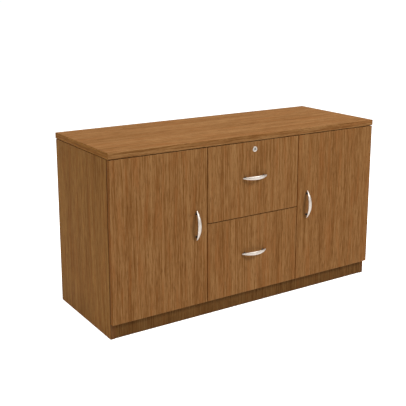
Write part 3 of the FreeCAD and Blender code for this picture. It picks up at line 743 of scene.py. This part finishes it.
def screw_tree():
    """A row of pan-head screws with cross recesses, each turned as it happened to stop."""
    tree = bpy.data.node_groups.new("Screw row", "GeometryNodeTree")
    tree.interface.new_socket("Geometry", in_out="OUTPUT", socket_type="NodeSocketGeometry")
    for name, kind in SCREW_INPUTS:
        tree.interface.new_socket(name, in_out="INPUT", socket_type=kind)
    given = tree.nodes.new("NodeGroupInput").outputs
    radius, height, recess = given["Head Radius"], given["Head Height"], given["Recess Width"]
    crown = add(tree, "ShaderNodeMath", {0: radius, 1: CROWN_SHARE}, operation="MULTIPLY")
    head = add(tree, "GeometryNodeMeshCone", {"Vertices": SCREW_STEPS, "Radius Top": crown,
                                              "Radius Bottom": radius, "Depth": height})
    length = add(tree, "ShaderNodeMath", {0: radius, 1: RECESS_LENGTH}, operation="MULTIPLY")
    rise = add(tree, "ShaderNodeMath", {0: height, 1: RECESS_RAISE}, operation="MULTIPLY")
    raised = add(tree, "ShaderNodeCombineXYZ", {2: rise})
    screw = add(tree, "GeometryNodeMeshBoolean", {"Mesh 1": head}, operation="DIFFERENCE", solver="EXACT")
    for sides in ((length, recess, height), (recess, length, height)):
        size = add(tree, "ShaderNodeCombineXYZ", dict(enumerate(sides)))
        arm = add(tree, "GeometryNodeMeshCube", {"Size": size})
        cutter = add(tree, "GeometryNodeTransform", {"Geometry": arm, "Translation": raised})
        tree.links.new(cutter, screw.node.inputs["Mesh 2"])
    row = add(tree, "GeometryNodeMeshLine", {"Count": given["Count"], "Start Location": given["Start"],
                                             "Offset": given["Step"]})
    placed = add(tree, "GeometryNodeInstanceOnPoints", {"Points": row, "Instance": screw,
                                                        "Rotation": given["Turn"]})
    angle = add(tree, "FunctionNodeRandomValue", {"Max": math.pi / 2, "Seed": SCREW_SEED})
    spin = add(tree, "ShaderNodeCombineXYZ", {2: angle})
    stopped = add(tree, "GeometryNodeRotateInstances", {"Instances": placed, "Rotation": spin})
    real = add(tree, "GeometryNodeRealizeInstances", {"Geometry": stopped})
    plated = add(tree, "GeometryNodeSetMaterial", {"Geometry": real, "Material": given["Metal"]})
    out = tree.nodes.new("NodeGroupOutput")
    tree.links.new(plated, out.inputs["Geometry"])
    return tree


def screw_rows(name, tree, sizes, rows, turn, body):
    """Evaluates the screw tree once for each (count, start, step) row and joins the rows in one piece."""
    identifiers = {item.name: item.identifier for item in tree.interface.items_tree if item.in_out == "INPUT"}
    metal = fitting_finish("zinc")
    joined = bmesh.new()
    for count, start, step in rows:
        carrier = bpy.data.objects.new(f"{name}_carrier", bpy.data.meshes.new(f"{name}_carrier"))
        bpy.context.collection.objects.link(carrier)
        modifier = carrier.modifiers.new("Screws", "NODES")
        modifier.node_group = tree
        values = {"Count": count, "Start": start, "Step": step, "Turn": turn, "Metal": metal,
                  "Head Radius": sizes.head_radius, "Head Height": sizes.head_height,
                  "Recess Width": sizes.slot_width}
        for key, value in values.items():
            modifier[identifiers[key]] = value
        depsgraph = bpy.context.evaluated_depsgraph_get()
        mesh = bpy.data.meshes.new_from_object(carrier.evaluated_get(depsgraph))
        if not mesh.polygons:
            raise RuntimeError(f"{name} has no screws")
        carrier.modifiers.remove(modifier)
        joined.from_mesh(mesh)
        bpy.data.objects.remove(carrier)
        bpy.data.meshes.remove(mesh)
    # The rows may come with slots of their own, and the joined piece has the metal alone
    for face in joined.faces:
        face.material_index = 0
    new_piece(name, joined, [metal], body)


# Turn that points a screw's head to the back
TO_BACK = (-math.pi / 2, 0, 0)

# Screws on the back: their distances from the panel's ends, bottom and top
BACK_END = 60 * MM
BACK_BOTTOM = 84 * MM
BACK_TOP = 48 * MM

# Screws in a drawer's front end: their reach to each side as a share of its width, and their distances from
# its bottom and top
DRAWER_REACH = 0.30
DRAWER_BOTTOM = 70 * MM
DRAWER_TOP = 60 * MM

# Hinge arms: half their height, how far their bay-side face stands off the side panel, and the place and
# spacing of their two adjusting screws
HINGE_ARM_HALF = 5 * MM
HINGE_ARM_STAND = 10 * MM
HINGE_SCREW_SETBACK = 12 * MM
HINGE_SCREW_SPACING = 22 * MM


class CABINET_OT_screws(bpy.types.Operator):
    """Sets screw heads on the back panel, on the hinge arms and inside the drawers' front ends"""
    bl_idname = "cabinet.screws"
    bl_label = "Screws"

    def execute(self, context):
        sizes = context.scene.cabinet_screws
        tree = screw_tree()
        self.back_screws(sizes, tree)
        for drawer in DRAWERS:
            self.front_screws(sizes, tree, drawer)
        self.hinge_screws(sizes, tree)
        return {"FINISHED"}

    def back_screws(self, sizes, tree):
        """Two upright rows into the partitions and a level one into the cabinet's floor."""
        low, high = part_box("back_panel")
        floor_low, floor_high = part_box("bottom_panel")
        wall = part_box("partitions")[1].x - BOARD_THICK / 2
        rise = (high.z - low.z - BACK_BOTTOM - BACK_TOP) / (sizes.upright_count - 1)
        rows = [(sizes.upright_count, (x, high.y, low.z + BACK_BOTTOM), (0, 0, rise)) for x in (-wall, wall)]
        pace = (high.x - low.x - 2 * BACK_END) / (sizes.level_count - 1)
        middle = (floor_low.z + floor_high.z) / 2
        rows.append((sizes.level_count, (low.x + BACK_END, high.y, middle), (pace, 0, 0)))
        screw_rows("back_panel_screws", tree, sizes, rows, TO_BACK, "carcass")

    def front_screws(self, sizes, tree, drawer):
        """Four screws through the drawer box's front end into the drawer front."""
        low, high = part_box(f"{drawer}_ends")
        inner = low.y + DRAWER_BOARD_THICK
        reach = (high.x - low.x) * DRAWER_REACH
        heights = (low.z + DRAWER_BOTTOM, high.z - DRAWER_TOP)
        rows = [(2, (-reach, inner, z), (2 * reach, 0, 0)) for z in heights]
        screw_rows(f"{drawer}_front_screws", tree, sizes, rows, TO_BACK, drawer)

    def hinge_screws(self, sizes, tree):
        """Two screws on each hinge arm, on the face that looks into the door's bay."""
        low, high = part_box("hinge_arms")
        heights = (low.z + HINGE_ARM_HALF, high.z - HINGE_ARM_HALF)
        start = high.y - HINGE_SCREW_SETBACK
        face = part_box("hinge_plates")[1].x - HINGE_ARM_STAND
        for side, name in ((-1, "left"), (1, "right")):
            rows = [(2, (side * face, start, z), (0, -HINGE_SCREW_SPACING, 0)) for z in heights]
            screw_rows(f"{name}_hinge_screws", tree, sizes, rows, (0, -side * math.pi / 2, 0), "carcass")


# Studio in metres: half the floor's width, its cells, and the place and width of each light
FLOOR_HALF = 300
FLOOR_CELLS = 4
KEY_PLACE = (3.4, -6.2, 6.3)
KEY_WIDTH = 2.4
OVERHEAD_PLACE = (0.0, -0.6, 7.5)
OVERHEAD_WIDTH = 3.5

# Camera of the photograph: a square frame, seen from the left front and a little above, with its sensor in
# millimetres and its place in metres
PHOTO_PIXELS = 406
CAMERA_SENSOR = 36
CAMERA_FOCAL_PIXELS = 768.5
CAMERA_SHIFT_PIXELS = -49.5
CAMERA_AZIMUTH = math.radians(-32.944)
CAMERA_ELEVATION = math.radians(12.286)
CAMERA_PLACE = (-1.882, -2.7423, 1.3512)


class CABINET_OT_stage(bpy.types.Operator):
    """Sets the white floor, the studio lights and the camera"""
    bl_idname = "cabinet.stage"
    bl_label = "Studio stage"

    def execute(self, context):
        scene = context.scene
        light = scene.cabinet_stage
        self.lay_floor(light)
        scene.world = self.build_dome(light)
        self.hang_light("Key light", light.key, KEY_PLACE, KEY_WIDTH)
        self.hang_light("Overhead light", light.overhead, OVERHEAD_PLACE, OVERHEAD_WIDTH)
        self.set_camera(scene)
        scene.view_settings.view_transform = "Standard"
        return {"FINISHED"}

    def build_dome(self, light):
        """An even white dome, seen at full strength behind the floor, whatever light it gives."""
        world = bpy.data.worlds.new("Studio dome")
        world.use_nodes = True
        tree = world.node_tree
        seen = add(tree, "ShaderNodeLightPath", take="Is Camera Ray")
        strength = add(tree, "ShaderNodeMix", {"Factor": seen, "A": light.sky, "B": 1.0})
        dome = tree.nodes["Background"]
        dome.inputs["Color"].default_value = WHITE
        tree.links.new(strength, dome.inputs["Strength"])
        return world

    def lay_floor(self, light):
        """A floor of studio paper that runs to the horizon."""
        bm = bmesh.new()
        bmesh.ops.create_grid(bm, x_segments=FLOOR_CELLS, y_segments=FLOOR_CELLS, size=FLOOR_HALF)
        mesh = bpy.data.meshes.new("studio_floor")
        bm.to_mesh(mesh)
        bm.free()
        mesh.materials.append(seamless_paper("White studio paper", light.paper, light.paper_near))
        floor = bpy.data.objects.new("studio_floor", mesh)
        bpy.context.collection.objects.link(floor)

    def hang_light(self, name, power, place, width):
        """A square soft light that looks at the cabinet's middle."""
        data = bpy.data.lights.new(name, "AREA")
        data.energy = power
        data.size = width
        lamp = bpy.data.objects.new(name, data)
        lamp.location = place
        lamp.rotation_euler = (CENTRE - Vector(place)).to_track_quat("-Z", "Y").to_euler()
        bpy.context.collection.objects.link(lamp)

    def set_camera(self, scene):
        """The photograph's camera, level from side to side."""
        data = bpy.data.cameras.new("Studio camera")
        data.sensor_width = CAMERA_SENSOR
        data.lens = CAMERA_FOCAL_PIXELS / PHOTO_PIXELS * data.sensor_width
        data.shift_y = CAMERA_SHIFT_PIXELS / PHOTO_PIXELS
        camera = bpy.data.objects.new("Studio camera", data)
        camera.location = CAMERA_PLACE
        camera.rotation_euler = (math.radians(90) - CAMERA_ELEVATION, 0, CAMERA_AZIMUTH)
        bpy.context.collection.objects.link(camera)
        scene.camera = camera


class CABINET_PT_build(bpy.types.Panel):
    """Lists the cabinet's pieces and their sizes and tones"""
    bl_idname = "CABINET_PT_build"
    bl_label = "Storage cabinet"
    bl_space_type = "VIEW_3D"
    bl_region_type = "UI"
    bl_category = "Cabinet"

    def draw(self, context):
        for operator in OPERATORS:
            self.layout.operator(operator.bl_idname)
        for name in SETTINGS:
            group = getattr(context.scene, name)
            box = self.layout.box()
            for key in group.bl_rna.properties.keys():
                if key not in ("rna_type", "name"):
                    box.prop(group, key)


SETTINGS = {
    "cabinet_finish": CabinetFinish,
    "cabinet_pulls": PullSizes,
    "cabinet_lock": LockSizes,
    "cabinet_screws": ScrewSizes,
    "cabinet_stage": StageLight,
}
OPERATORS = [CABINET_OT_boards, CABINET_OT_fittings, CABINET_OT_pulls, CABINET_OT_lock, CABINET_OT_screws,
             CABINET_OT_stage]


def register():
    for group in [*SETTINGS.values(), *OPERATORS, CABINET_PT_build]:
        bpy.utils.register_class(group)
    for name, group in SETTINGS.items():
        setattr(bpy.types.Scene, name, PointerProperty(type=group))


def unregister():
    for name in SETTINGS:
        delattr(bpy.types.Scene, name)
    for group in [CABINET_PT_build, *reversed(OPERATORS), *reversed(SETTINGS.values())]:
        bpy.utils.unregister_class(group)


def main():
    register()
    bpy.ops.cabinet.boards()
    bpy.ops.cabinet.fittings()
    bpy.ops.cabinet.pulls()
    bpy.ops.cabinet.lock()
    bpy.ops.cabinet.screws()
    bpy.ops.cabinet.stage()
    bpy.context.view_layer.update()


if __name__ == "__main__":
    main()
